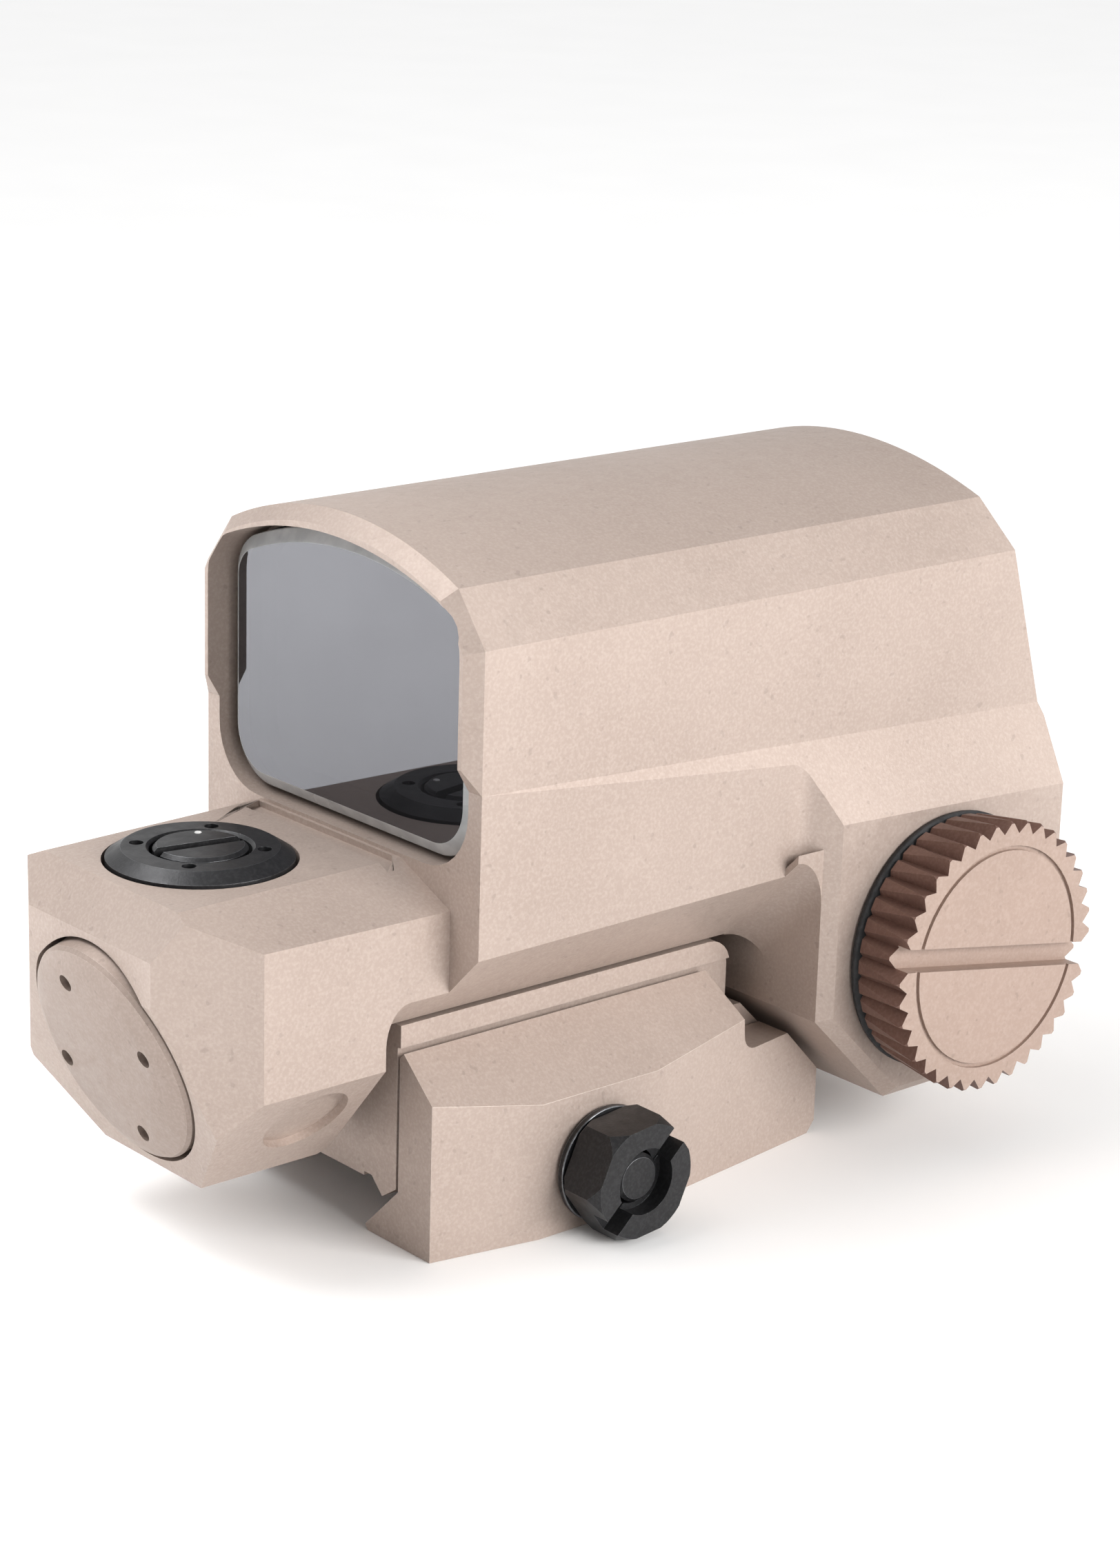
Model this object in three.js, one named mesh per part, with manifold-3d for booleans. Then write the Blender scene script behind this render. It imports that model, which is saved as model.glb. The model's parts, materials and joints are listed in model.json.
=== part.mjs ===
// Enclosed red dot finder with a rail clamp.
// Millimetres, +X forwards through the hood, +Y to the left, +Z up.
import * as THREE from 'three';
import Module from 'manifold-3d';
import { mergeVertices } from 'three/addons/utils/BufferGeometryUtils.js';

const wasm = await Module();
wasm.setup();

// ---- driving dimensions ------------------------------------------------------
// The sizes are laid out from the back face of the body (x = 0), the middle
// plane (y = 0) and the bottom of the clamp jaws (z = 0).
const GAP = 0.3;

const HOOD_HALF = 18.4;
const HOOD_SHOULDER_Z = 51.3;
const HOOD_CORNER_Y = 15.0;
const HOOD_CORNER_Z = 55.6;
const HOOD_TOP_Z = 58.9;
const HOOD_FOOT_Z = 39.6;
const LIP = 1.2;
const LIP_CUT_Z = 41.6;
const FRONT_X = 64.8;
const FRONT_SHOULDER_X = 60.1;
const FRONT_RAKE = 0.3;

const BODY_FRONT_HALF = 19.2;
const BODY_EDGE_Z = 25.9;
const BELLY_Z = 19.6;
const BELLY_HALF = 12.2;
const FLANK_SLOPE = 0.5;
const FLANK_DROP = 0.0437;

const POD_BACK_X = 35.9;
const POD_HALF = 21.8;
const POD_BOTTOM_Z = 4.3;
const POD_FACET = 9.0;
const POD_BEVEL = 1.1;

const BOX_HALF = 14.8;
const BOX_BACK_X = -24.4;
const BOX_TOP_Z = 31.95;
const BOX_BOTTOM_Z = 7.4;
const BOX_FRONT_X = -6.3;
const BOX_FILLET = 2.4;
// Planes that cut the emitter box's edges, a point and an outward normal each.
const BOX_CHAMFERS = [
  [[0, -BOX_HALF, 29.15], [0.03, -1, 2.3]],
  [[-18.24, -BOX_HALF, 20], [-1, -0.97, 0]],
  [[0, -BOX_HALF, 16.96], [0, -0.772, -0.635]],
  [[0, BOX_HALF, 30.25], [-0.05, 1, 2.3]],
  [[-20.6, BOX_HALF, 20], [-1, 0.62, 0]],
  [[0, BOX_HALF, 12.3], [0, 0.515, -0.857]],
];

const EMITTER_TILT = THREE.MathUtils.degToRad(18.8);
const CAP_X = -22.13;
const CAP_Z = 17.63;
const CAP_R = 9.75;
const CAP_BORE_R = 10.1;
const CHAMBER_R = 8.2;
const LIGHT_R = 4.0;

const DIAL_X = 50.2;
const DIAL_Z = 18.4;
const DIAL_R = 12.2;
const DIAL_BACK_R = 11.5;
const DIAL_ROOT_R = 11.1;
const DIAL_TEETH = 38;
const DIAL_BACK_Y = -22.8;
const DIAL_FACE_Y = -28.2;
const BATTERY_BORE_R = 8.9;

const ADJUST_X = -13.1;
const ADJUST_Y = 0.95;
const ADJUST_R = 7.65;
const WIND_X = -14.2;
const WIND_Z = 22.6;
const WIND_R = 3.9;

const RAIL_X0 = -2.9;
const RAIL_X1 = 41.9;
const RAIL_TOP_Z = 4.75;
const RAIL_TIP_Y = 8.0;
const SEAT_HALF = 7.8;
const BASE_TOP_Z = 19.3;
const BOLT_X = 13.8;
const BOLT_Z = 5.4;
const BOLT_R = 2.1;
const NUT_R = 5.5;
const JAW_FACE_Y = -18.4;
const SCREW_X = [4, 27];

// The row's origin: middle of the flat that sits on the rail.
const ORIGIN = new THREE.Vector3(19.5, 0, RAIL_TOP_Z);

// ---- helpers -----------------------------------------------------------------
function solid(geometry) {
  const bare = geometry.clone();
  bare.deleteAttribute('normal');
  bare.deleteAttribute('uv');
  const merged = mergeVertices(bare, 1e-4);
  const position = merged.attributes.position;
  const index = merged.index.array;
  const triangles = [];
  let volume = 0;
  const a = new THREE.Vector3();
  const b = new THREE.Vector3();
  const c = new THREE.Vector3();
  for (let i = 0; i < index.length; i += 3) {
    const [p, q, r] = [index[i], index[i + 1], index[i + 2]];
    if (p === q || q === r || r === p) continue;
    triangles.push(p, q, r);
    a.fromBufferAttribute(position, p);
    b.fromBufferAttribute(position, q);
    c.fromBufferAttribute(position, r);
    volume += a.dot(b.cross(c));
  }
  if (volume < 0) triangles.reverse();
  return new wasm.Manifold(new wasm.Mesh({
    numProp: 3,
    vertProperties: new Float32Array(position.array),
    triVerts: new Uint32Array(triangles),
  }));
}

function geometryOf(manifold) {
  const mesh = manifold.getMesh();
  const geometry = new THREE.BufferGeometry();
  geometry.setAttribute('position', new THREE.BufferAttribute(mesh.vertProperties, 3));
  geometry.setIndex(new THREE.BufferAttribute(mesh.triVerts, 1));
  return geometry;
}

function shapeOf(points) {
  return new THREE.Shape(points.map(([u, v]) => new THREE.Vector2(u, v)));
}

function arcPoints(cu, cv, radius, fromDeg, toDeg, steps) {
  const points = [];
  for (let i = 0; i <= steps; i++) {
    const angle = THREE.MathUtils.degToRad(fromDeg + (toDeg - fromDeg) * i / steps);
    points.push([cu + radius * Math.cos(angle), cv + radius * Math.sin(angle)]);
  }
  return points;
}

function extrude(shape, depth, bevel = 0) {
  return new THREE.ExtrudeGeometry(shape, {
    depth,
    bevelEnabled: bevel > 0,
    bevelThickness: bevel,
    bevelSize: bevel,
    bevelOffset: -bevel,
    bevelSegments: 1,
    curveSegments: 24,
  });
}

// Outline in (y, z), pushed along X.
function alongX(shape, x0, x1, bevel = 0) {
  const geometry = extrude(shape, x1 - x0, bevel);
  const turn = new THREE.Matrix4().makeBasis(
    new THREE.Vector3(0, 1, 0), new THREE.Vector3(0, 0, 1), new THREE.Vector3(1, 0, 0));
  geometry.applyMatrix4(turn);
  geometry.translate(x0, 0, 0);
  return solid(geometry);
}

// Outline in (x, z), pushed along Y.
function alongY(shape, y0, y1, bevel = 0) {
  const geometry = extrude(shape, y1 - y0, bevel);
  const turn = new THREE.Matrix4().makeBasis(
    new THREE.Vector3(1, 0, 0), new THREE.Vector3(0, 0, 1), new THREE.Vector3(0, -1, 0));
  geometry.applyMatrix4(turn);
  geometry.translate(0, y1, 0);
  return solid(geometry);
}

// Outline in (x, y), pushed along Z.
function alongZ(shape, z0, z1) {
  const geometry = extrude(shape, z1 - z0);
  geometry.translate(0, 0, z0);
  return solid(geometry);
}

// Turned body. Profile in (radius, height), height along the direction given.
function turned(profile, origin, direction, segments = 48) {
  const points = profile.map(([r, h]) => new THREE.Vector2(r, h));
  const geometry = new THREE.LatheGeometry(points, segments);
  const spin = new THREE.Quaternion().setFromUnitVectors(
    new THREE.Vector3(0, 1, 0), direction.clone().normalize());
  geometry.applyQuaternion(spin);
  geometry.translate(origin.x, origin.y, origin.z);
  return solid(geometry);
}

function disc(radius, h0, h1, origin, direction, segments = 48) {
  return turned([[0, h0], [radius, h0], [radius, h1], [0, h1]], origin, direction, segments);
}

function ring(inner, outer, h0, h1, origin, direction, segments = 48) {
  return turned([[inner, h0], [outer, h0], [outer, h1], [inner, h1], [inner, h0]],
    origin, direction, segments);
}

function box(x0, x1, y0, y1, z0, z1) {
  const geometry = new THREE.BoxGeometry(x1 - x0, y1 - y0, z1 - z0);
  geometry.translate((x0 + x1) / 2, (y0 + y1) / 2, (z0 + z1) / 2);
  return solid(geometry);
}

// A large block that fills the far side of a plane through a point.
function beyond(point, normal) {
  const size = 160;
  const geometry = new THREE.BoxGeometry(size, size, size);
  geometry.translate(0, 0, size / 2);
  geometry.applyQuaternion(new THREE.Quaternion().setFromUnitVectors(
    new THREE.Vector3(0, 0, 1), normal.clone().normalize()));
  geometry.translate(point.x, point.y, point.z);
  return solid(geometry);
}

const V = (x, y, z) => new THREE.Vector3(x, y, z);
const UP = V(0, 0, 1);
const RIGHT = V(0, -1, 0);
const LEFT = V(0, 1, 0);
const BEAM = V(Math.cos(EMITTER_TILT), 0, Math.sin(EMITTER_TILT));
const CAP_CENTRE = V(CAP_X, 0, CAP_Z);

// Window outline, grown or shrunk evenly.
function paneOutline(grow) {
  const topAngle = 111.4;
  return shapeOf([
    ...arcPoints(-12.4, 50.46, 4 + grow, 180, topAngle, 6),
    ...arcPoints(0, 18.8, 38 + grow, topAngle, 180 - topAngle, 20).slice(1, -1),
    ...arcPoints(12.4, 50.46, 4 + grow, 180 - topAngle, 0, 6),
    ...arcPoints(11.4, 37.6, 5 + grow, 0, -90, 8),
    ...arcPoints(-11.4, 37.6, 5 + grow, -90, -180, 8),
  ]);
}

// ---- housing -----------------------------------------------------------------
function hoodSolid() {
  const sagitta = HOOD_TOP_Z - HOOD_CORNER_Z;
  const radius = (HOOD_CORNER_Y ** 2 + sagitta ** 2) / (2 * sagitta);
  const half = THREE.MathUtils.radToDeg(Math.asin(HOOD_CORNER_Y / radius));
  const outline = shapeOf([
    [-HOOD_HALF, 36],
    [HOOD_HALF, 36],
    [HOOD_HALF, HOOD_SHOULDER_Z],
    ...arcPoints(0, HOOD_TOP_Z - radius, radius, 90 - half, 90 + half, 28),
    [-HOOD_HALF, HOOD_SHOULDER_Z],
  ]);
  const underLip = shapeOf([
    [0, 30],
    [0, HOOD_FOOT_Z],
    [-LIP, LIP_CUT_Z],
    [-LIP - 3, LIP_CUT_Z + 5],
    [-LIP - 3, 30],
  ]);
  return alongX(outline, 0, 72, LIP).subtract(alongY(underLip, -30, 30));
}

function lowerBodySolid() {
  const side = (sign) => [
    [0, sign * HOOD_HALF],
    [33.2, sign * BODY_FRONT_HALF],
    ...arcPoints(POD_BACK_X - 2.7, sign * (BODY_FRONT_HALF + 2.7), 2.7, -80 * sign, -40 * sign, 4),
    [POD_BACK_X, sign * (POD_HALF - POD_BEVEL)],
  ];
  const plan = [...side(-1), ...side(1).reverse()];
  return alongZ(shapeOf(plan), BELLY_Z, 41);
}

function podSolid() {
  const outline = shapeOf([
    [POD_BACK_X, 40],
    [POD_BACK_X, POD_BOTTOM_Z + POD_FACET],
    [POD_BACK_X + POD_FACET, POD_BOTTOM_Z],
    [FRONT_X + POD_BEVEL - POD_FACET, POD_BOTTOM_Z],
    [FRONT_X + POD_BEVEL, POD_BOTTOM_Z + POD_FACET],
    [FRONT_X + POD_BEVEL, 40],
  ]);
  return alongY(outline, -POD_HALF + POD_BEVEL, POD_HALF - POD_BEVEL, POD_BEVEL);
}

// The body's lower sides lean in to the belly, and blend into the walls at each end.
function bellyCut() {
  const slope = (BODY_EDGE_Z - BELLY_Z) / (HOOD_HALF - BELLY_HALF);
  const reach = 30;
  const outline = shapeOf([
    [-reach, -10],
    [reach, -10],
    [reach, BELLY_Z + (reach - BELLY_HALF) * slope],
    [BELLY_HALF, BELLY_Z],
    [-BELLY_HALF, BELLY_Z],
    [-reach, BELLY_Z + (reach - BELLY_HALF) * slope],
  ]);
  return alongX(outline, BOX_FRONT_X, POD_BACK_X);
}

function bellyBlend(x, forward, radius, sign) {
  const slope = Math.atan2(BODY_EDGE_Z - BELLY_Z, HOOD_HALF - BELLY_HALF);
  const end = forward ? -1 : 1;
  const corner = alongY(shapeOf([
    [-end * 0.5, 0.5],
    [end * radius, 0.5],
    ...arcPoints(end * radius, -radius, radius, 90, forward ? 0 : 180, 8),
    [-end * 0.5, -radius],
  ]), -0.2, 22);
  const turnDeg = THREE.MathUtils.radToDeg(slope) * sign;
  const flipped = sign < 0 ? corner.mirror([0, 1, 0]) : corner;
  return flipped.rotate([turnDeg, 0, 0]).translate([x, sign * BELLY_HALF, BELLY_Z]);
}

function emitterBoxSolid() {
  const lean = Math.tan(EMITTER_TILT);
  const profile = shapeOf([
    [2, BOX_TOP_Z],
    [-22.2, BOX_TOP_Z],
    [BOX_BACK_X, 28.1],
    [BOX_BACK_X, 24.3],
    [BOX_BACK_X + (24.3 - BOX_BOTTOM_Z) * lean, BOX_BOTTOM_Z],
    [BOX_FRONT_X - 0.8, BOX_BOTTOM_Z],
    [BOX_FRONT_X, BOX_BOTTOM_Z + 0.8],
    [BOX_FRONT_X, BELLY_Z - 2],
    [2, BELLY_Z - 2],
  ]);
  let block = alongY(profile, -BOX_HALF, BOX_HALF);
  for (const [point, normal] of BOX_CHAMFERS) {
    block = block.subtract(beyond(V(...point), V(...normal)));
  }
  return block;
}

// Everything the housing is hollowed by.
function tunnelCut() {
  const seat = alongX(paneOutline(0.35), -6, 3.7);
  const tunnel = alongX(paneOutline(-2), 3, 60);
  return seat.add(tunnel).add(lensPocket());
}

const LENS_TILT = 9.4;
const LENS_CENTRE = [56.4, 0, 44.7];

function tilted(piece) {
  const [x, y, z] = LENS_CENTRE;
  return piece.translate([-x, -y, -z]).rotate([0, -LENS_TILT, 0]).translate([x, y, z]);
}

function lensPocket() {
  return tilted(alongX(paneOutline(-1), LENS_CENTRE[0] - 1.8, LENS_CENTRE[0] + 20));
}

function emitterCut() {
  return disc(CAP_BORE_R, -6, 3.8, CAP_CENTRE, BEAM, 64)
    .add(disc(CHAMBER_R, 3.5, 14, CAP_CENTRE, BEAM, 48))
    .add(disc(LIGHT_R, 13.5, 62, CAP_CENTRE, BEAM, 32));
}

function adjusterCuts() {
  const top = V(ADJUST_X, ADJUST_Y, 0);
  const side = V(WIND_X, 0, WIND_Z);
  return disc(ADJUST_R + GAP, 30, 36, top, UP, 64)
    .add(disc(1.9, 24, 31, top, UP, 24))
    .add(disc(WIND_R + GAP, 13.4, 18, side, LEFT, 48))
    .add(disc(1.5, 5, 14, side, LEFT, 24));
}

function batteryCut() {
  return disc(BATTERY_BORE_R, -30, 16.9, V(DIAL_X, 0, DIAL_Z), LEFT, 64);
}

function smallCuts() {
  const groove = alongZ(shapeOf([
    [-0.35, 10.6],
    [-2.3, 10.6],
    [-2.3, -10.6],
    [-0.35, -7.6],
  ]), BOX_TOP_Z - 0.5, BOX_TOP_Z + 3);
  const wire = disc(1.1, -12, 46, V(0, 6.4, 21.6), V(1, 0, 0), 16);
  const pocket = disc(3.8, -0.7, 4, V(-11.83, -11.64, 13.09), V(0, -0.772, -0.635), 40);
  let cuts = groove.add(wire).add(pocket);
  SCREW_X.forEach((x, i) => {
    cuts = cuts.add(disc(2.1, BELLY_Z - 2, [21.9, 24][i], V(x, 0, 0), UP, 24));
  });
  return cuts;
}

function housing() {
  let lower = lowerBodySolid().add(podSolid());
  for (const sign of [-1, 1]) {
    lower = lower.subtract(beyond(
      V(0, sign * HOOD_HALF, HOOD_FOOT_Z),
      V(FLANK_SLOPE * FLANK_DROP, sign, FLANK_SLOPE)));
  }
  let body = hoodSolid().add(lower).add(emitterBoxSolid());
  body = body.subtract(bellyCut());
  for (const sign of [-1, 1]) {
    const blends = bellyBlend(POD_BACK_X, true, 3, sign)
      .add(bellyBlend(BOX_FRONT_X, false, BOX_FILLET, sign));
    const inside = box(BOX_FRONT_X - 1, 0, -BOX_HALF, BOX_HALF, 10, 31)
      .add(box(30, POD_BACK_X + 1, -20.7, 20.7, 12, 36));
    body = body.add(blends.intersect(inside));
  }
  body = body
    .subtract(beyond(V(FRONT_X, 0, 0), V(1, 0, 0)))
    .subtract(beyond(V(FRONT_SHOULDER_X, 0, HOOD_SHOULDER_Z), V(1, 0, FRONT_RAKE)));
  return body
    .subtract(tunnelCut())
    .subtract(emitterCut())
    .subtract(adjusterCuts())
    .subtract(batteryCut())
    .subtract(smallCuts());
}

// ---- optics ------------------------------------------------------------------
function rearWindow() {
  return alongX(paneOutline(0.05), 1.1, 1.9, 0.9);
}

function windowGasket() {
  return alongX(paneOutline(0.05), 3.1, 3.5).subtract(alongX(paneOutline(-1.9), 0, 6));
}

function frontLens() {
  const x = LENS_CENTRE[0];
  return tilted(alongX(paneOutline(-1.3), x - 0.8, x + 0.8, 0.7));
}

function lensRing() {
  const x = LENS_CENTRE[0];
  const ringBody = alongX(paneOutline(-1.3), x + 1.8, x + 3.2)
    .subtract(alongX(paneOutline(-2.9), x, x + 5));
  return tilted(ringBody);
}

// ---- emitter -----------------------------------------------------------------
function emitterCap() {
  let cap = turned([
    [0, -1.0],
    [7.9, -1.0],
    [CAP_R - 0.25, -0.35],
    [CAP_R, 0],
    [CAP_R, 2.4],
    [0, 2.4],
  ], CAP_CENTRE, BEAM, 72);
  const down = V(Math.sin(EMITTER_TILT), 0, -Math.cos(EMITTER_TILT));
  for (let i = 0; i < 4; i++) {
    const angle = THREE.MathUtils.degToRad(160.7 - 90 * i);
    const at = CAP_CENTRE.clone()
      .addScaledVector(down, 6.9 * Math.cos(angle))
      .addScaledVector(LEFT, 6.9 * Math.sin(angle));
    cap = cap.subtract(disc(0.75, -3, 0.9, at, BEAM, 20));
  }
  return cap;
}

function capSeal() {
  return ring(8.5, 9.6, 2.75, 3.45, CAP_CENTRE, BEAM);
}

function emitterBoard() {
  return disc(7.7, 4.3, 5.3, CAP_CENTRE, BEAM);
}

function windageSlider() {
  return ring(1.6, 7.2, 6.0, 8.8, CAP_CENTRE, BEAM);
}

function emitterTube() {
  return turned([
    [1.2, 9.4],
    [3.0, 9.4],
    [3.0, 12.4],
    [2.4, 13.2],
    [1.2, 13.2],
    [1.2, 9.4],
  ], CAP_CENTRE, BEAM, 32);
}

function lightEmitter() {
  return turned([[0, 10.2], [0.85, 10.2], [0.85, 11.6], [0.5, 12.1], [0, 12.3]],
    CAP_CENTRE, BEAM, 20);
}

// ---- adjusters ---------------------------------------------------------------
function elevationCollar() {
  const at = V(ADJUST_X, ADJUST_Y, 0);
  let collar = turned([
    [4.15, 30.3],
    [ADJUST_R, 30.3],
    [ADJUST_R, 32.15],
    [6.4, 32.95],
    [4.4, 32.95],
    [4.15, 32.7],
    [4.15, 30.3],
  ], at, UP, 72);
  for (let i = 0; i < 4; i++) {
    const spoke = V(5.2, 0, 0).applyAxisAngle(UP, Math.PI / 4 + i * Math.PI / 2);
    collar = collar.subtract(disc(0.6, 31.7, 34, at.clone().add(spoke), UP, 16));
  }
  return collar;
}

function elevationScrew() {
  const at = V(ADJUST_X, ADJUST_Y, 0);
  const dial = turned([
    [0, 24.8],
    [1.5, 24.8],
    [1.5, 30.4],
    [3.85, 30.4],
    [3.85, 32.8],
    [3.55, 33.1],
    [0, 33.1],
  ], at, UP, 48);
  const slot = box(-6, 6, -0.6, 0.6, 32.1, 34)
    .rotate([0, 0, -10]).translate([ADJUST_X, ADJUST_Y, 0]);
  return dial.subtract(slot);
}

function windageCollar() {
  const at = V(WIND_X, 0, WIND_Z);
  return turned([
    [2.3, 13.7],
    [WIND_R, 13.7],
    [WIND_R, 14.9],
    [3.4, 15.3],
    [2.3, 15.3],
    [2.3, 13.7],
  ], at, LEFT, 40);
}

function windageScrew() {
  const at = V(WIND_X, 0, WIND_Z);
  const dial = turned([
    [0, 7.9],
    [1.15, 7.9],
    [1.15, 13.9],
    [2.0, 13.9],
    [2.0, 15.2],
    [1.8, 15.4],
    [0, 15.4],
  ], at, LEFT, 32);
  return dial.subtract(box(WIND_X - 3, WIND_X + 3, 14.8, 17, WIND_Z - 0.35, WIND_Z + 0.35));
}

// ---- dial and battery ----------------------------------------------------------
function dialKnob() {
  const at = V(DIAL_X, 0, DIAL_Z);
  const outline = [];
  for (let i = 0; i < DIAL_TEETH * 2; i++) {
    const radius = i % 2 ? DIAL_ROOT_R : DIAL_R;
    const angle = Math.PI * (1 + i / DIAL_TEETH);
    outline.push([DIAL_X + radius * Math.cos(angle), DIAL_Z + radius * Math.sin(angle)]);
  }
  const toothed = alongY(shapeOf(outline), DIAL_FACE_Y, DIAL_BACK_Y);
  const envelope = turned([
    [0, 22.8],
    [DIAL_BACK_R, 22.8],
    [DIAL_R, 27.9],
    [DIAL_R - 0.2, 28.2],
    [0, 28.2],
  ], at, RIGHT, 72);
  const hub = disc(8.55, 20.2, 23.2, at, RIGHT, 48);
  const faceGroove = ring(9.6, 10.0, 27.9, 29, at, RIGHT, 64);
  const slot = box(-15, 15, DIAL_FACE_Y - 1, DIAL_FACE_Y + 1.5, -1.02, 1.02)
    .rotate([0, 10, 0]).translate([DIAL_X, 0, DIAL_Z]);
  return toothed.intersect(envelope).add(hub).subtract(faceGroove).subtract(slot);
}

function dialSeal() {
  return ring(9.3, 11.6, 22.05, 22.5, V(DIAL_X, 0, DIAL_Z), RIGHT, 64);
}

function dialContact() {
  return disc(6, 19.5, 19.9, V(DIAL_X, 0, DIAL_Z), RIGHT, 32);
}

function battery() {
  return turned([
    [0, -19.1],
    [3.2, -19.1],
    [3.2, -18.3],
    [8.1, -18.3],
    [8.4, -18.0],
    [8.4, 13.9],
    [8.1, 14.2],
    [0, 14.2],
  ], V(DIAL_X, 0, DIAL_Z), LEFT, 48);
}

function contactSpring() {
  class Coil extends THREE.Curve {
    getPoint(t, target = new THREE.Vector3()) {
      const angle = t * 2.25 * Math.PI * 2;
      const radius = 5.4 - 1.9 * t;
      return target.set(
        DIAL_X + radius * Math.cos(angle), 16.2 - 1.3 * t, DIAL_Z + radius * Math.sin(angle));
    }
  }
  const wire = shapeOf(arcPoints(0, 0, 0.32, 0, 315, 7));
  return solid(new THREE.ExtrudeGeometry(wire, {
    steps: 72,
    bevelEnabled: false,
    extrudePath: new Coil(),
  }));
}

// ---- rail clamp ----------------------------------------------------------------
function railBase() {
  const section = shapeOf([
    [-12.4, BASE_TOP_Z],
    [-12.4, 17.35],
    [-12.0, 17.35],
    [-12.0, 4.9],
    [-10.2, 3.7],
    [-8.8, 5.1],
    [-SEAT_HALF, 5.1],
    [-SEAT_HALF, RAIL_TOP_Z],
    [SEAT_HALF, RAIL_TOP_Z],
    [SEAT_HALF, 5.1],
    [12.3, 5.1],
    [12.3, RAIL_TOP_Z],
    [RAIL_TIP_Y, 0.45],
    [RAIL_TIP_Y + 0.4, 0],
    [16.7, 0],
    [16.7, 13.5],
    [12.8, 17],
    [12.4, 17.35],
    [12.4, BASE_TOP_Z],
  ]);
  const side = shapeOf([
    [RAIL_X0, 0],
    [RAIL_X1 - 1, 0],
    [RAIL_X1, 1],
    [RAIL_X1, 6.0],
    [37.4, 10.5],
    [35.3, 12.6],
    [33.4, 12.6],
    ...arcPoints(30.9, BASE_TOP_Z - 2.5, 2.5, 0, 90, 6),
    [RAIL_X0, BASE_TOP_Z],
  ]);
  let base = alongX(section, RAIL_X0, RAIL_X1).intersect(alongY(side, -30, 30));
  base = base.subtract(disc(BOLT_R + 0.35, -20, 20, V(BOLT_X, 0, BOLT_Z), LEFT, 32));
  for (const x of SCREW_X) {
    base = base
      .subtract(disc(2.1, 3, 22, V(x, 0, 0), UP, 24))
      .subtract(disc(3.5, 2, 9, V(x, 0, 0), UP, 32));
  }
  return base;
}

function clampJaw() {
  const slope = 0.9;
  const section = shapeOf([
    [-RAIL_TIP_Y - 0.4, 0],
    [-RAIL_TIP_Y, 0.45],
    [-12.3, 4.75],
    [-12.3, 16.5],
    [-12.8, 17],
    [-24, 17 - slope * 11.2],
    [-24, 0],
  ]);
  const plan = shapeOf([
    [RAIL_X0, -5],
    [RAIL_X0, -16.55],
    [7.2, JAW_FACE_Y],
    [19.85, JAW_FACE_Y],
    [RAIL_X1, -15.3],
    [RAIL_X1, -5],
  ]);
  const side = shapeOf([
    [RAIL_X0, 0],
    [RAIL_X1 - 1, 0],
    [RAIL_X1, 1],
    [RAIL_X1, 6.0],
    [37.4, 10.5],
    ...arcPoints(32.9, 11.9, 1.5, 270, 180, 5),
    [31.3, 13.4],
    [30, 17.5],
    [RAIL_X0, 17.5],
  ]);
  return alongX(section, RAIL_X0, RAIL_X1)
    .intersect(alongZ(plan, -1, 20))
    .intersect(alongY(side, -30, 0))
    .subtract(disc(BOLT_R + 0.35, 0, 30, V(BOLT_X, 0, BOLT_Z), RIGHT, 32));
}

function clampBolt() {
  const at = V(BOLT_X, 0, BOLT_Z);
  const shank = turned([
    [0, -17.5],
    [BOLT_R, -17.5],
    [BOLT_R, 22.8],
    [BOLT_R - 0.3, 23.1],
    [0, 23.1],
  ], at, RIGHT, 32);
  const head = disc(4.3, -20, -17.1, at, RIGHT, 6);
  const chamfer = turned([[0, -20], [3.7, -20], [4.4, -19.3], [4.4, -17.1], [0, -17.1]],
    at, RIGHT, 36);
  return shank.add(head.intersect(chamfer));
}

function clampWasher() {
  return ring(BOLT_R + 0.3, 5.05, 18.7, 19.3, V(BOLT_X, 0, BOLT_Z), RIGHT, 48);
}

function clampNut() {
  const at = V(BOLT_X, 0, BOLT_Z);
  const flats = disc(NUT_R, 19.6, 24, at, RIGHT, 6)
    .translate([-BOLT_X, 0, -BOLT_Z]).rotate([0, 24, 0]).translate([BOLT_X, 0, BOLT_Z]);
  const round = turned([
    [0, 19.6],
    [NUT_R - 0.4, 19.6],
    [NUT_R, 20.1],
    [NUT_R, 22.9],
    [NUT_R - 0.55, 24],
    [0, 24],
  ], at, RIGHT, 60);
  const bore = turned([
    [0, 10],
    [BOLT_R + 0.3, 10],
    [BOLT_R + 0.3, 22.4],
    [2.9, 22.4],
    [2.9, 30],
    [0, 30],
  ], at, RIGHT, 40);
  const slot = box(-8, 8, -26, -22.2, -0.95, 0.95)
    .rotate([0, -43, 0]).translate([BOLT_X, 0, BOLT_Z]);
  return flats.intersect(round).subtract(bore).subtract(slot);
}

function baseScrew(x, top) {
  const screw = turned([
    [0, 5.4],
    [3.1, 5.4],
    [3.1, 8.6],
    [1.75, 8.6],
    [1.75, top],
    [0, top],
  ], V(x, 0, 0), UP, 32);
  return screw.subtract(disc(1.5, 4, 7.2, V(x, 0, 0), UP, 6));
}

// ---- assembly ------------------------------------------------------------------
const TAN = { color: 0xb59a8a, roughness: 0.55, metalness: 0.75 };
const BLACK = { color: 0x1c1d20, roughness: 0.45, metalness: 0.6 };
const RUBBER = { color: 0x101012, roughness: 0.8, metalness: 0 };
const GLASS = { color: 0xb4b8be, roughness: 0.05, metalness: 0.1, transparent: true, opacity: 0.4 };
const STEEL = { color: 0xa9adb2, roughness: 0.3, metalness: 1 };
const BRASS = { color: 0xb08d4a, roughness: 0.35, metalness: 1 };
const BOARD = { color: 0x1f5a38, roughness: 0.6, metalness: 0 };
const CELL = { color: 0x3a4a60, roughness: 0.4, metalness: 0.3 };
const EMITTER = { color: 0xc03028, roughness: 0.2, metalness: 0 };

const group = new THREE.Group();
group.name = 'red_dot_finder';

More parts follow.
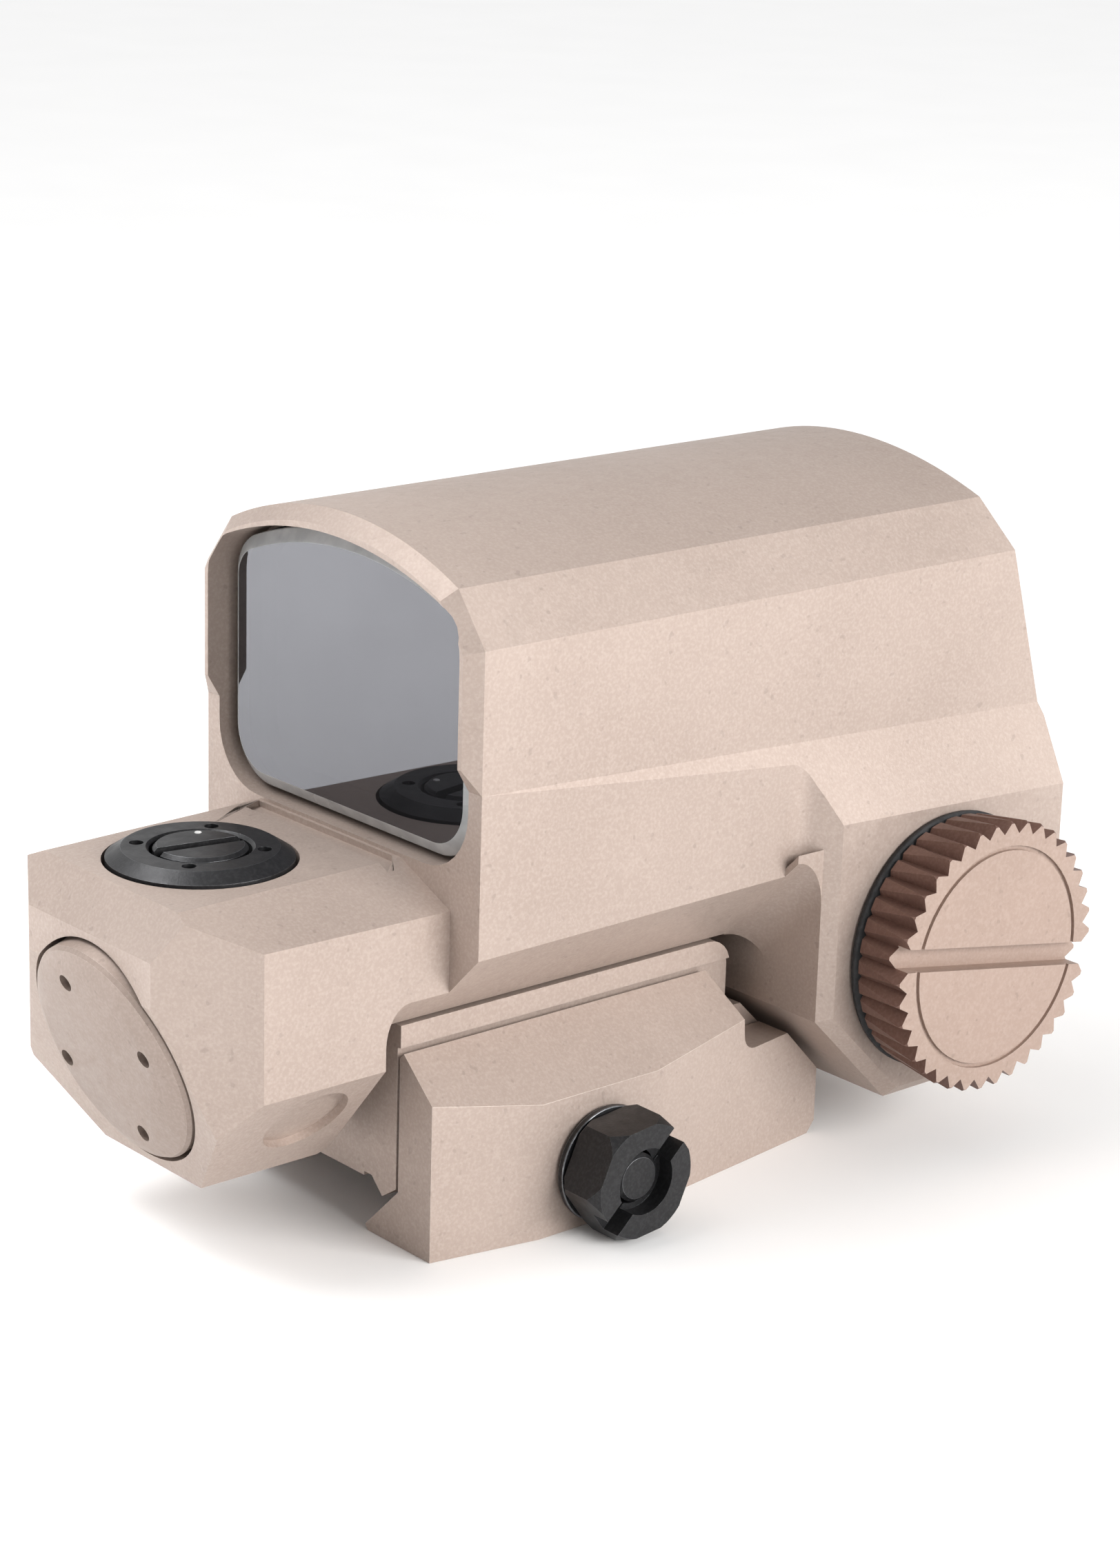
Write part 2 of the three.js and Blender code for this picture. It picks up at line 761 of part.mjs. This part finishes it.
function place(name, finish, manifold) {
  const geometry = geometryOf(manifold);
  geometry.translate(-ORIGIN.x, -ORIGIN.y, -ORIGIN.z);
  const mesh = new THREE.Mesh(geometry, new THREE.MeshStandardMaterial(finish));
  mesh.name = name;
  group.add(mesh);
}

place('housing', TAN, housing());
place('rear_window', GLASS, rearWindow());
place('window_gasket', RUBBER, windowGasket());
place('front_lens', GLASS, frontLens());
place('lens_ring', BLACK, lensRing());
place('emitter_cap', TAN, emitterCap());
place('cap_seal', RUBBER, capSeal());
place('emitter_board', BOARD, emitterBoard());
place('windage_slider', BRASS, windageSlider());
place('emitter_tube', BRASS, emitterTube());
place('light_emitter', EMITTER, lightEmitter());
place('elevation_collar', BLACK, elevationCollar());
place('elevation_screw', BLACK, elevationScrew());
place('windage_collar', BLACK, windageCollar());
place('windage_screw', BLACK, windageScrew());
place('dial_knob', TAN, dialKnob());
place('dial_seal', RUBBER, dialSeal());
place('dial_contact', BRASS, dialContact());
place('battery', CELL, battery());
place('contact_spring', STEEL, contactSpring());
place('rail_base', TAN, railBase());
place('clamp_jaw', TAN, clampJaw());
place('clamp_bolt', BLACK, clampBolt());
place('clamp_washer', BLACK, clampWasher());
place('clamp_nut', BLACK, clampNut());
place('base_screw_rear', STEEL, baseScrew(SCREW_X[0], 21.5));
place('base_screw_front', STEEL, baseScrew(SCREW_X[1], 23.6));

export default group;
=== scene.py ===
"""Looks for the enclosed red dot finder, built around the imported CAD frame."""
import json
import math

import bmesh
import bpy
from mathutils import Matrix, Vector


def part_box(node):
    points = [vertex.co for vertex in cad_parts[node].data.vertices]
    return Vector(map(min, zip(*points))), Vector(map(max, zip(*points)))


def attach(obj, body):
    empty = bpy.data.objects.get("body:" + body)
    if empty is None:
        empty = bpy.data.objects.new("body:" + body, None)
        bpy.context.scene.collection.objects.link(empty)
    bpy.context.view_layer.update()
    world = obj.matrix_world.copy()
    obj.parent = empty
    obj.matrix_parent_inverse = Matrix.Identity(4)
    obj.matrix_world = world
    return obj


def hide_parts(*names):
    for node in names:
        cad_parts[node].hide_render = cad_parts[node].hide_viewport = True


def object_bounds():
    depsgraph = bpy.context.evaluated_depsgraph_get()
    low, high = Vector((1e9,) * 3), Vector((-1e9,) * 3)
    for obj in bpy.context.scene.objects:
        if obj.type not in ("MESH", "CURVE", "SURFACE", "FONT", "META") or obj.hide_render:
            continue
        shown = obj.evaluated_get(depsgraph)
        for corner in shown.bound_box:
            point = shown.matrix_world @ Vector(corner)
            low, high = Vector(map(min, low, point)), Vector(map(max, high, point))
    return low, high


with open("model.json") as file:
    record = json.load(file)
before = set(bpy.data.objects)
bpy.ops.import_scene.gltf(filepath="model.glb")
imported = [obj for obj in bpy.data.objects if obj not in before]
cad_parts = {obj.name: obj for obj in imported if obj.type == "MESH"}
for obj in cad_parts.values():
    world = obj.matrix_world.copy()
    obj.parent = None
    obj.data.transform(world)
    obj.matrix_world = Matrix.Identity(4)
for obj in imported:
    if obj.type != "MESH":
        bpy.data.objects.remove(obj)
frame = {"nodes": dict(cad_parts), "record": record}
CAD_BOX = [list(map(float, corner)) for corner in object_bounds()]
MM = 0.001

scene = bpy.context.scene
scene.view_settings.view_transform = "Standard"


# ---- node trees ------------------------------------------------------------------
class Tree:
    """A node tree, with short calls for what materials and the sky share."""

    def __init__(self, tree):
        self.tree = tree
        self.place = self.add("ShaderNodeTexCoord")

    def add(self, kind, **settings):
        node = self.tree.nodes.new(kind)
        for key, value in settings.items():
            setattr(node, key, value)
        return node

    def link(self, output, socket):
        self.tree.links.new(output, socket)

    def remap(self, value, low, high, to_low, to_high):
        node = self.add("ShaderNodeMapRange")
        ends = {"From Min": low, "From Max": high, "To Min": to_low, "To Max": to_high}
        for key, number in ends.items():
            node.inputs[key].default_value = number
        self.link(value, node.inputs["Value"])
        return node.outputs["Result"]


class Material(Tree):
    """A principled material whose textures lie in the object's own space."""

    def __init__(self, name):
        self.material = bpy.data.materials.new(name)
        self.material.use_nodes = True
        super().__init__(self.material.node_tree)
        self.shader = self.tree.nodes["Principled BSDF"]
        self.where = self.place.outputs["Object"]

    def noise(self, per_metre, detail=3.0, roughness=0.55, stretch=(1, 1, 1)):
        mapping = self.add("ShaderNodeMapping")
        mapping.inputs["Scale"].default_value = stretch
        self.link(self.where, mapping.inputs["Vector"])
        node = self.add("ShaderNodeTexNoise")
        node.inputs["Scale"].default_value = per_metre
        node.inputs["Detail"].default_value = detail
        node.inputs["Roughness"].default_value = roughness
        self.link(mapping.outputs["Vector"], node.inputs["Vector"])
        return node.outputs["Fac"]

    def blend(self, factor, a, b):
        """Mixes two colours, each a tuple or another node's output."""
        node = self.add("ShaderNodeMix", data_type="RGBA")
        self.link(factor, node.inputs["Factor"])
        for socket, value in ((node.inputs[6], a), (node.inputs[7], b)):
            if isinstance(value, tuple):
                socket.default_value = (*value, 1)
            else:
                self.link(value, socket)
        return node.outputs[2]

    def bump(self, height, depth, strength, under=None):
        node = self.add("ShaderNodeBump")
        node.inputs["Strength"].default_value = strength
        node.inputs["Distance"].default_value = depth
        self.link(height, node.inputs["Height"])
        if under is not None:
            self.link(under, node.inputs["Normal"])
        return node.outputs["Normal"]

    def finish(self, color, roughness, normal=None, metallic=0.0, **fixed):
        self.link(color, self.shader.inputs["Base Color"])
        self.link(roughness, self.shader.inputs["Roughness"])
        if normal is not None:
            self.link(normal, self.shader.inputs["Normal"])
        self.shader.inputs["Metallic"].default_value = metallic
        for key, value in fixed.items():
            self.shader.inputs[key].default_value = value
        return self.material


# ---- finishes ----------------------------------------------------------------------
CLOUDS_PER_METRE = 38
GRAIN_PER_METRE = 3600
SPECKS_PER_METRE = 1500
SHEEN_PER_METRE = 900
PITS_PER_METRE = 5200
WAVES_PER_METRE = 420
PIT_DEPTH = 0.02 * MM
WAVE_DEPTH = 0.01 * MM
SPECK_TONE = 0.6


def blasted(name, base, dark, light, metallic, rough):
    """Bead-blasted, anodised metal: fine grain and sparse specks over slow changes of tone."""
    m = Material(name)
    clouds = m.remap(m.noise(CLOUDS_PER_METRE, 4), 0.35, 0.65, 0, 1)
    color = m.blend(clouds, dark, base)
    grain = m.remap(m.noise(GRAIN_PER_METRE, 2), 0.42, 0.68, 0, 0.30)
    color = m.blend(grain, color, light)
    specks = m.remap(m.noise(SPECKS_PER_METRE, 1, 0.4), 0.70, 0.76, 0, 0.35)
    color = m.blend(specks, color, tuple(SPECK_TONE * c for c in base))
    roughness = m.remap(m.noise(SHEEN_PER_METRE, 3), 0.3, 0.7, rough - 0.05, rough + 0.07)
    normal = m.bump(m.noise(PITS_PER_METRE, 2), PIT_DEPTH, 0.55)
    normal = m.bump(m.noise(WAVES_PER_METRE, 2), WAVE_DEPTH, 0.35, normal)
    return m.finish(color, roughness, normal, metallic)


def matt(name, base, light, rough, per_metre=1800, depth=PIT_DEPTH):
    """Rubber, plastic, paint or ground glass with a mottled tone."""
    m = Material(name)
    color = m.blend(m.remap(m.noise(per_metre, 3), 0.35, 0.7, 0, 1), base, light)
    roughness = m.remap(m.noise(per_metre / 3, 3), 0.3, 0.7, rough - 0.08, rough + 0.08)
    return m.finish(color, roughness, m.bump(m.noise(per_metre, 2), depth, 0.5))


def machined(name, base, dark, rough):
    """Turned metal with fine tool lines."""
    m = Material(name)
    lines = m.noise(900, 3, 0.6, stretch=(6, 6, 1))
    color = m.blend(m.remap(lines, 0.3, 0.7, 0, 1), dark, base)
    roughness = m.remap(m.noise(700, 3), 0.3, 0.7, rough - 0.06, rough + 0.1)
    return m.finish(color, roughness, m.bump(lines, WAVE_DEPTH, 0.4), 1.0)


def mirror_glass(name, tint, rough, alpha):
    """Coated glass, part mirror, with a faint haze."""
    m = Material(name)
    haze = m.remap(m.noise(55, 4), 0.4, 0.7, 0, 1)
    color = m.blend(haze, tint, tuple(0.93 * c for c in tint))
    roughness = m.remap(m.noise(60, 2), 0.35, 0.75, rough, rough + 0.006)
    return m.finish(color, roughness, None, 0.9, Alpha=alpha)


TAN = blasted("tan_blasted", (0.40, 0.322, 0.280), (0.355, 0.282, 0.243), (0.53, 0.445, 0.40), 0.35, 0.50)
# lighter tan for rounded edges: partly wear, partly painted highlight
TAN_EDGE_WEAR_AND_HIGHLIGHT = blasted("tan_edge_wear_and_highlight", (0.70, 0.61, 0.55), (0.56, 0.47, 0.42), (0.85, 0.77, 0.72), 0.4, 0.40)
# darker copies of the body tan for the emitter cap and the knob: painted shade
TAN_CAP_PAINTED_SHADE = blasted("tan_cap_painted_shade", (0.31, 0.243, 0.208), (0.275, 0.213, 0.180), (0.42, 0.345, 0.305), 0.35, 0.50)
TAN_KNOB_PAINTED_SHADE = blasted("tan_knob_painted_shade", (0.355, 0.262, 0.218), (0.31, 0.228, 0.187), (0.47, 0.37, 0.32), 0.35, 0.50)
# darker tan for the knob's toothed side: painted shade between the teeth
TAN_KNURL_PAINTED_SHADE = blasted("tan_knurl_painted_shade", (0.17, 0.095, 0.075), (0.12, 0.065, 0.05), (0.26, 0.16, 0.13), 0.45, 0.42)
# lighter tan for the knob's rounded tooth edges: partly wear, partly painted highlight
TAN_TOOTH_WEAR_AND_HIGHLIGHT = blasted("tan_tooth_wear_and_highlight", (0.42, 0.29, 0.245), (0.32, 0.21, 0.175), (0.60, 0.46, 0.40), 0.45, 0.38)
BLACK = blasted("black_blasted", (0.020, 0.020, 0.022), (0.013, 0.013, 0.014), (0.05, 0.05, 0.053), 0.45, 0.40)
# lighter grey for the black parts' rounded edges: partly wear, partly painted highlight
BLACK_EDGE_WEAR_AND_HIGHLIGHT = blasted("black_edge_wear_and_highlight", (0.17, 0.175, 0.185), (0.09, 0.092, 0.098), (0.30, 0.31, 0.32), 0.75, 0.30)
GLASS = mirror_glass("coated_pane", (0.100, 0.100, 0.109), 0.004, 0.95)
GLASS_EDGE = matt("ground_glass_edge", (0.33, 0.345, 0.35), (0.43, 0.44, 0.45), 0.22, 500, 0.003 * MM)
RUBBER = matt("black_rubber", (0.012, 0.012, 0.013), (0.03, 0.03, 0.032), 0.75)
BOARD = matt("circuit_board", (0.012, 0.085, 0.04), (0.03, 0.14, 0.07), 0.5)
BRASS = machined("turned_brass", (0.62, 0.44, 0.17), (0.45, 0.30, 0.10), 0.3)
STEEL = machined("turned_steel", (0.55, 0.56, 0.58), (0.38, 0.39, 0.41), 0.3)
PLASTIC = matt("emitter_plastic", (0.45, 0.03, 0.02), (0.55, 0.06, 0.04), 0.25)
CELL = matt("cell_sleeve", (0.03, 0.05, 0.10), (0.05, 0.07, 0.14), 0.35)
PAINT = matt("index_paint", (0.50, 0.50, 0.49), (0.62, 0.62, 0.61), 0.5)

# each record slot's finish: its faces, then its rounded edges; the tan and black edges are lighter, partly
# wear and partly painted highlight
SLOT_FINISH = {
    "anodised_body": (TAN, TAN_EDGE_WEAR_AND_HIGHLIGHT),
    "coated_glass": (GLASS, GLASS_EDGE),
    "rubber": (RUBBER, RUBBER),
    "black_metal": (BLACK, BLACK_EDGE_WEAR_AND_HIGHLIGHT),
    "board": (BOARD, BOARD),
    "brass": (BRASS, BRASS),
    "emitter_plastic": (PLASTIC, PLASTIC),
    "cell_sleeve": (CELL, CELL),
    "steel": (STEEL, STEEL),
}
# the cap and the knob take darker copies of the body tan as painted shade; their rounded edges are lighter,
# partly wear and partly painted highlight
OWN_FINISH = {"emitter_cap": (TAN_CAP_PAINTED_SHADE, TAN_EDGE_WEAR_AND_HIGHLIGHT), "dial_knob": (TAN_KNOB_PAINTED_SHADE, TAN_TOOTH_WEAR_AND_HIGHLIGHT)}


# ---- CAD nodes ---------------------------------------------------------------------
# width of each rounded edge in mm; the other nodes are inner pieces and seals
EDGES = {
    "housing": 0.28,
    "rail_base": 0.22,
    "clamp_jaw": 0.25,
    "clamp_nut": 0.28,
    "clamp_bolt": 0.12,
    "clamp_washer": 0.12,
    "emitter_cap": 0.14,
    "elevation_collar": 0.14,
    "elevation_screw": 0.12,
    "dial_knob": 0.14,
    "windage_collar": 0.12,
    "windage_screw": 0.12,
    "lens_ring": 0.12,
}
# an edge is rounded when it bends more than this many degrees: more than a round part's facets do
ROUND_PARTS = ("clamp_nut", "clamp_bolt", "clamp_washer", "emitter_cap", "elevation_collar",
               "elevation_screw", "windage_collar", "windage_screw", "lens_ring", "dial_knob")
LIMITS = {**dict.fromkeys(ROUND_PARTS, 26), "rail_base": 20, "clamp_jaw": 20}
PLAIN_LIMIT = 14
WELD = 0.002 * MM
KNURL_FROM_RADIUS = 10.4 * MM


def paint_knurl_shade(mesh):
    """The knob's toothed side takes a darker tan, painted shade between its worn teeth."""
    mesh.materials.append(TAN_KNURL_PAINTED_SHADE)
    centre = sum((Vector(c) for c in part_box("dial_knob")), Vector()) / 2
    for face in mesh.polygons:
        out = face.center - centre
        if math.hypot(out.x, out.z) > KNURL_FROM_RADIUS and abs(face.normal.y) < 0.6:
            face.material_index = 2


def round_edges(node, width, limit):
    bevel = node.modifiers.new("round", "BEVEL")
    bevel.width = width * MM
    bevel.segments = 2
    bevel.limit_method = "ANGLE"
    bevel.angle_limit = math.radians(limit)
    bevel.use_clamp_overlap = True
    bevel.harden_normals = True
    # the rounded edges take the second finish, which on tan and black parts is lighter: partly wear, partly
    # painted highlight
    bevel.material = 1
    bevel.miter_outer = "MITER_ARC"


def dress(name):
    """Gives a CAD node its finish and small rounded edges. Its own mesh stays as packed."""
    node = frame["nodes"][name]
    mesh = node.data
    slot = mesh.materials[0].name.split(".")[0]
    mesh.materials.clear()
    for material in OWN_FINISH.get(name, SLOT_FINISH[slot]):
        mesh.materials.append(material)
    for attribute in ("custom_normal", "sharp_edge"):
        if attribute in mesh.attributes:
            mesh.attributes.remove(mesh.attributes[attribute])
    mesh.shade_smooth()
    weld = node.modifiers.new("weld", "WELD")
    weld.merge_threshold = WELD
    flat = node.modifiers.new("flat", "DECIMATE")
    flat.decimate_type = "DISSOLVE"
    flat.angle_limit = math.radians(1.0)
    if name == "dial_knob":
        paint_knurl_shade(mesh)
    if name in EDGES:
        round_edges(node, EDGES[name], LIMITS.get(name, PLAIN_LIMIT))


for node_name in sorted(frame["nodes"]):
    dress(node_name)


# ---- window pane -------------------------------------------------------------------
# millimetres from the body's back face, its middle plane and the underside of the jaws
BODY_BACK = 19.5
JAW_UNDERSIDE = 4.75
PANE_FACE_X = 0.8
PANE_RIM_X = 1.5
ARC_STEPS = 20
# centre y, centre z, radius, start and end angle
PANE_ARCS = (
    (-12.4, 50.46, 4, 180, 111.4),
    (0, 18.8, 38, 111.4, 68.6),
    (12.4, 50.46, 4, 68.6, 0),
    (11.4, 37.6, 5, 0, -90),
    (-11.4, 37.6, 5, -90, -180),
)


def pane_outline(grow):
    points = []
    for y, z, radius, start, end in PANE_ARCS:
        for step in range(ARC_STEPS + 1):
            angle = math.radians(start + (end - start) * step / ARC_STEPS)
            points.append((y + (radius + grow) * math.cos(angle), z + (radius + grow) * math.sin(angle)))
    return points


def pane_ring(mesh, x, grow):
    return [mesh.verts.new(((x - BODY_BACK) * MM, y * MM, (z - JAW_UNDERSIDE) * MM))
            for y, z in pane_outline(grow)]


def window_pane():
    """The rear window with its ground edge: a flat mirror face inside a chamfer."""
    inner_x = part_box("rear_window")[1][0] / MM + BODY_BACK
    layers = ((PANE_FACE_X, -1.30), (PANE_FACE_X + 0.03, -1.22), (PANE_RIM_X, -0.18),
              (PANE_RIM_X + 0.15, -0.1), (inner_x, -0.1))
    mesh = bmesh.new()
    rings = [pane_ring(mesh, x, grow) for x, grow in layers]
    for near, far in zip(rings, rings[1:]):
        for i in range(len(near)):
            j = (i + 1) % len(near)
            mesh.faces.new((near[i], near[j], far[j], far[i])).material_index = 1
    mesh.faces.new(rings[0])
    mesh.faces.new(rings[-1][::-1])
    bmesh.ops.remove_doubles(mesh, verts=mesh.verts, dist=WELD / 2)
    bmesh.ops.recalc_face_normals(mesh, faces=mesh.faces)
    data = bpy.data.meshes.new("window_pane")
    mesh.to_mesh(data)
    for material in SLOT_FINISH["coated_glass"]:
        data.materials.append(material)
    pane = bpy.data.objects.new("window_pane", data)
    scene.collection.objects.link(pane)
    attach(pane, "sight")
    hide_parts("rear_window")


window_pane()


# ---- index dot ---------------------------------------------------------------------
DOT_RADIUS = 0.30
DOT_TOP_RADIUS = 0.26
DOT_HEIGHT = 0.06
DOT_FROM_AXIS = (1.55, 2.55)


def joint_place(name):
    joints = frame["record"]["behaviour"]["joints"]
    return Vector(next(joint["pos_m"] for joint in joints if joint["name"] == name))


def index_dot():
    """The small painted index at the far side of the elevation screw's head."""
    mesh = bmesh.new()
    bmesh.ops.create_cone(mesh, cap_ends=True, segments=32, radius1=DOT_RADIUS * MM,
                          radius2=DOT_TOP_RADIUS * MM, depth=DOT_HEIGHT * MM)
    data = bpy.data.meshes.new("index_dot")
    mesh.to_mesh(data)
    data.materials.append(PAINT)
    dot = bpy.data.objects.new("index_dot", data)
    axis = joint_place("elevation_turn")
    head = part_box("elevation_screw")[1][2]
    dot.location = (axis.x + DOT_FROM_AXIS[0] * MM, axis.y + DOT_FROM_AXIS[1] * MM,
                    head + DOT_HEIGHT / 2 * MM)
    scene.collection.objects.link(dot)
    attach(dot, "elevation")


index_dot()


# ---- stage -------------------------------------------------------------------------
FLOOR_RADIUS = 6.0
FLOOR_GAP = 0.02 * MM
GLOW = 0.34
GLOW_FROM = 0.07
GLOW_FULL_AT = 0.40


def floor():
    """A pale floor that also glows a little away from the part, so that it stays white there."""
    bpy.ops.mesh.primitive_circle_add(vertices=96, radius=FLOOR_RADIUS, fill_type="NGON",
                                      location=(0, 0, CAD_BOX[0][2] - FLOOR_GAP))
    ground = bpy.context.object
    ground.name = "floor"
    m = Material("pale_floor")
    tone = m.remap(m.noise(30, 2), 0.3, 0.7, 0, 1)
    away = m.add("ShaderNodeVectorMath", operation="LENGTH")
    m.link(m.where, away.inputs[0])
    glow = m.remap(away.outputs["Value"], GLOW_FROM, GLOW_FULL_AT, 0.0, GLOW)
    m.link(glow, m.shader.inputs["Emission Strength"])
    color = m.blend(tone, (0.90, 0.90, 0.90), (0.93, 0.93, 0.93))
    roughness = m.remap(tone, 0, 1, 0.85, 0.95)
    ground.data.materials.append(m.finish(color, roughness, **{"Emission Color": (1, 1, 1, 1)}))


SKY = 1.0
OVERHEAD = 0.50
CAMERA_SIDE = (-0.76, -0.65, 0)
CAMERA_SIDE_SKY = 0.45


def sky():
    """A white sky, dimmer overhead and on the camera's side."""
    world = bpy.data.worlds.new("studio")
    scene.world = world
    world.use_nodes = True
    t = Tree(world.node_tree)
    background = t.tree.nodes["Background"]
    background.inputs["Color"].default_value = (1, 1, 1, 1)
    direction = t.place.outputs["Generated"]
    split = t.add("ShaderNodeSeparateXYZ")
    t.link(direction, split.inputs[0])
    facing = t.add("ShaderNodeVectorMath", operation="DOT_PRODUCT")
    facing.inputs[1].default_value = CAMERA_SIDE
    t.link(direction, facing.inputs[0])
    both = t.add("ShaderNodeMath", operation="MULTIPLY")
    t.link(t.remap(split.outputs["Z"], 0, 1, SKY, OVERHEAD * SKY), both.inputs[0])
    t.link(t.remap(facing.outputs["Value"], 0, 0.9, 1, CAMERA_SIDE_SKY), both.inputs[1])
    t.link(both.outputs["Value"], background.inputs["Strength"])


def softbox(name, at, aim, size, power, tint=(1, 1, 1), spread=180):
    light = bpy.data.lights.new(name, "AREA")
    light.shape = "RECTANGLE"
    light.size, light.size_y = size
    light.energy = power
    light.color = tint
    light.spread = math.radians(spread)
    lamp = bpy.data.objects.new(name, light)
    lamp.location = at
    lamp.rotation_euler = (Vector(aim) - Vector(at)).to_track_quat("-Z", "Y").to_euler()
    scene.collection.objects.link(lamp)


floor()
sky()
softbox("key", (0.16, -0.72, 0.30), (0.0, 0.0, 0.02), (0.6, 0.3), 7.7, (1.0, 0.99, 0.975))
# the wash lights the patch of floor that the window mirrors to the camera
softbox("wash", (-0.18, 0.19, 0.30), (-0.17, 0.18, 0.0), (0.3, 0.3), 1.1, spread=90)
softbox("fill", (-0.50, 0.22, 0.42), (-0.05, 0.0, 0.02), (0.4, 0.3), 0.55)


# ---- camera ------------------------------------------------------------------------
AZIMUTH = math.radians(-41.12)
ELEVATION = math.radians(17.16)
ROLL = math.radians(1.68)
LENS = 114.43
CAMERA_AT = Vector((-0.18905, -0.22181, 0.11784))


def camera():
    back = Vector((math.sin(AZIMUTH) * math.cos(ELEVATION), -math.cos(AZIMUTH) * math.cos(ELEVATION),
                   math.sin(ELEVATION)))
    right = Vector((math.cos(AZIMUTH), math.sin(AZIMUTH), 0))
    up = back.cross(right)
    rolled_right = right * math.cos(ROLL) + up * math.sin(ROLL)
    rolled_up = up * math.cos(ROLL) - right * math.sin(ROLL)
    data = bpy.data.cameras.new("camera")
    data.sensor_fit = "HORIZONTAL"
    data.sensor_width = 36
    data.lens = LENS
    data.clip_start = 0.01
    data.clip_end = 50
    shot = bpy.data.objects.new("camera", data)
    turn = Matrix((rolled_right, rolled_up, back)).transposed()
    shot.matrix_world = Matrix.Translation(CAMERA_AT) @ turn.to_4x4()
    scene.collection.objects.link(shot)
    scene.camera = shot


camera()
